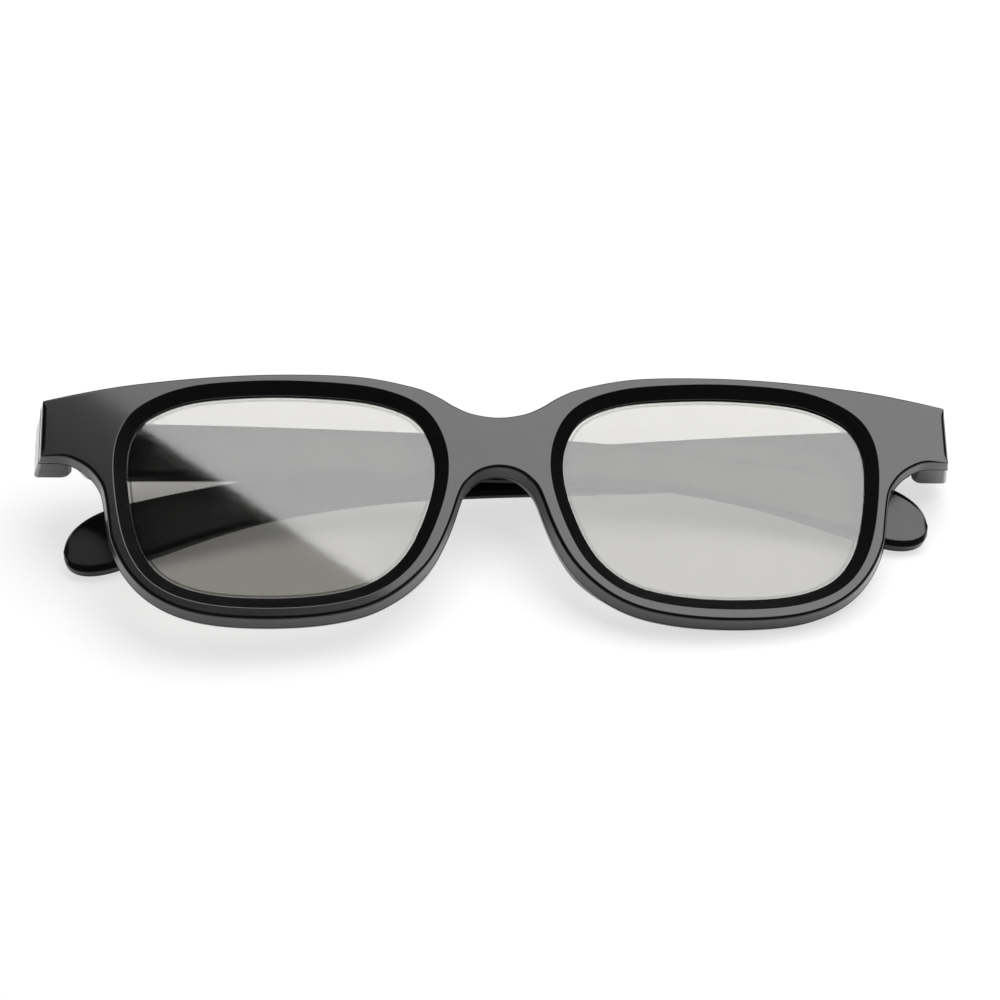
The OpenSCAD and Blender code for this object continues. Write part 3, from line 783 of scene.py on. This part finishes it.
def film(name, tint, ior, rough):
    """Clear optical sheet: tints what passes, darker on a band near its edge, reflects, and lets light
    through.
    """
    made, tree, main, coords = shader(name)
    even_tint = cloudy(tree, noise(tree, coords, 60, 2), [CLOUD_LEAST * c for c in tint], tint)
    # Darkened band near the lens edge: the tint times one less the band's share.
    line = tree.nodes.new("ShaderNodeAttribute")
    line.attribute_name = "dark_band"
    left = calc(tree, "SUBTRACT", 1, calc(tree, "MULTIPLY", line.outputs["Fac"], BAND_DARKENING))
    shade = tree.nodes.new("ShaderNodeVectorMath")
    shade.operation = "SCALE"
    tree.links.new(even_tint, shade.inputs[0])
    tree.links.new(left, shade.inputs["Scale"])
    tree.links.new(shade.outputs["Vector"], main.inputs["Base Color"])
    main.inputs["Roughness"].default_value = rough
    main.inputs["Transmission Weight"].default_value = 1.0
    main.inputs["IOR"].default_value = ior
    passing = tree.nodes.new("ShaderNodeBsdfTransparent")
    passing.inputs["Color"].default_value = tuple(np.sqrt(tint)) + (1,)
    lit = any_ray(tree, ("Is Shadow Ray", "Is Diffuse Ray"))
    blend(tree, lit, main.outputs["BSDF"], passing.outputs["BSDF"])
    return made


def turned_steel(name):
    """Bright drawn steel with a fine grain."""
    made, tree, main, coords = shader(name)
    bright = cloudy(tree, noise(tree, coords, 2500, 3), (0.5, 0.5, 0.51), (0.62, 0.62, 0.63))
    tree.links.new(bright, main.inputs["Base Color"])
    tree.links.new(spread(tree, noise(tree, coords, 1200, 3), 0.22, 0.36), main.inputs["Roughness"])
    main.inputs["Metallic"].default_value = 1.0
    return made


front_black = moulded_black("front_black", low=0.22, high=0.26, peel=0.008, ior=1.36, polish=0.6)
temple_black = moulded_black("temple_black", low=0.22, high=0.27, peel=0.01)
retainer_black = moulded_black("retainer_black", low=0.38, high=0.5, peel=0.08)
retarder_clear = film("retarder_clear", (0.97, 0.968, 0.96), ior=1.54, rough=0.03)
polariser_grey = film("polariser_grey", (0.46, 0.4535, 0.433), ior=1.04, rough=0.0)
pin_steel = turned_steel("pin_steel")

shell = front_shell()
block = right_endpiece()
front = together([shell, mirrored(*shell), block, mirrored(*block)])
piece("moulded_front", front, front_black, "front", "front_frame")

bar, bar_faces = together([temple_body(), tongue()])
right_bar = as_made(swung(bar, -FOLD_RIGHT, HINGE_PLAY), bar_faces)
left_bar = mirrored(swung(bar, FOLD_LEFT, -HINGE_PLAY), bar_faces)
piece("bevelled_right_temple", right_bar, temple_black, "right_temple", "right_temple")
piece("bevelled_left_temple", left_bar, temple_black, "left_temple", "left_temple")

retarder = sheet(SEAT_Z, RETARDER_BACK)
polariser = sheet(POLARISER_Z, POLARISER_BACK, DARK_BAND_RINGS)
retainer = retainer_ring()
for side, turn in (("right", as_made), ("left", mirrored)):
    name = side + "_retarder_sheet"
    piece(name, turn(*retarder), retarder_clear, "front", side + "_retarder_film")
    name = side + "_polariser_sheet"
    made = piece(name, turn(*polariser), polariser_grey, "front", side + "_polariser_film")
    dark_band(made)
    name = side + "_retainer_ring"
    piece(name, turn(*retainer), retainer_black, "front", side + "_lens_retainer")
    node = frame["nodes"][side + "_hinge_pin"]
    node.data.materials.clear()
    node.data.materials.append(pin_steel)

# How much of the table is plain white to each kind of ray; the rest is lit and keeps the shadow.
WHITE_SEEN, WHITE_MIRRORED, WHITE_THROUGH = 0.62, 0.05, 0.2
TABLE_HALF = 3.0


def table_top():
    """Plain pale table, a flat square well past the picture's edges."""
    mesh = bpy.data.meshes.new("table_top")
    corners = np.array([(-1, -1, 0), (1, -1, 0), (1, 1, 0), (-1, 1, 0)]) * TABLE_HALF
    mesh.from_pydata(corners, [], [(0, 1, 2, 3)])
    made = bpy.data.objects.new("table_top", mesh)
    bpy.context.scene.collection.objects.link(made)
    finish, tree, main, _ = shader("table_white")
    main.inputs["Base Color"].default_value = (0.93, 0.93, 0.93, 1)
    main.inputs["Roughness"].default_value = 0.9
    main.inputs["Specular IOR Level"].default_value = 0.0
    pale = tree.nodes.new("ShaderNodeEmission")
    seen = calc(tree, "MULTIPLY", any_ray(tree, ("Is Camera Ray",)), WHITE_SEEN)
    in_gloss = calc(tree, "MULTIPLY", any_ray(tree, ("Is Glossy Ray",)), WHITE_MIRRORED)
    through = calc(tree, "MULTIPLY", any_ray(tree, ("Is Transmission Ray",)), WHITE_THROUGH)
    white = calc(tree, "MAXIMUM", calc(tree, "MAXIMUM", seen, in_gloss), through)
    blend(tree, white, main.outputs["BSDF"], pale.outputs["Emission"])
    mesh.materials.append(finish)


def softbox(name, edge, bearing, height, length, depth, watts):
    """Flat lamp facing down: it reaches on its bearing from the middle of its near side, `edge`."""
    lamp = bpy.data.lights.new(name, "AREA")
    lamp.shape = "RECTANGLE"
    lamp.size, lamp.size_y = length, depth
    lamp.energy = watts
    made = bpy.data.objects.new(name, lamp)
    bpy.context.scene.collection.objects.link(made)
    reach = np.array([np.cos(bearing), np.sin(bearing)]) * depth / 2
    made.location = (edge[0] + reach[0], edge[1] + reach[1], height)
    made.rotation_euler = (0, 0, bearing - np.pi / 2)


# Strength of the world: the dim room, the pale backdrop low behind it, and the even light.
ROOM, BACKDROP, EVEN_LIGHT = 0.03, 0.8, 0.5


def studio():
    """World: seen and mirrored, a dim room with a pale backdrop low behind; to all else, an even light."""
    world = bpy.data.worlds.new("studio")
    bpy.context.scene.world = world
    world.use_nodes = True
    tree = world.node_tree
    sky = tree.nodes["Background"]
    sky.inputs["Color"].default_value = (1, 1, 1, 1)
    where = tree.nodes.new("ShaderNodeTexCoord")
    split = tree.nodes.new("ShaderNodeSeparateXYZ")
    tree.links.new(where.outputs["Generated"], split.inputs["Vector"])
    behind = spread(tree, split.outputs["Y"], 0.0, 1.0, 0.9, 0.98)
    low = spread(tree, split.outputs["Z"], BACKDROP, 0.0, 0.1, 0.35)
    room = calc(tree, "ADD", calc(tree, "MULTIPLY", behind, low), ROOM)
    shown = any_ray(tree, ("Is Camera Ray", "Is Glossy Ray", "Is Transmission Ray"))
    change = calc(tree, "MULTIPLY", calc(tree, "SUBTRACT", room, EVEN_LIGHT), shown)
    tree.links.new(calc(tree, "ADD", change, EVEN_LIGHT), sky.inputs["Strength"])


def camera():
    """Camera of the photo, fitted to the front's outline."""
    made = bpy.data.objects.new("camera", bpy.data.cameras.new("camera"))
    bpy.context.scene.collection.objects.link(made)
    made.location = (-0.012065, -0.302474, 0.340417)
    made.rotation_euler = np.radians((43.3693, 0.1102, -2.4619))
    made.data.sensor_width = 36
    made.data.lens = 100.8
    made.data.shift_y = -0.0325
    made.data.clip_start = 0.01
    bpy.context.scene.camera = made


table_top()
lamp_bearing = np.arctan2(0.83, 0.56)
softbox("overhead_softbox", (0.06, -0.0505), lamp_bearing, height=0.7, length=0.72, depth=0.6, watts=5.8)
studio()
camera()
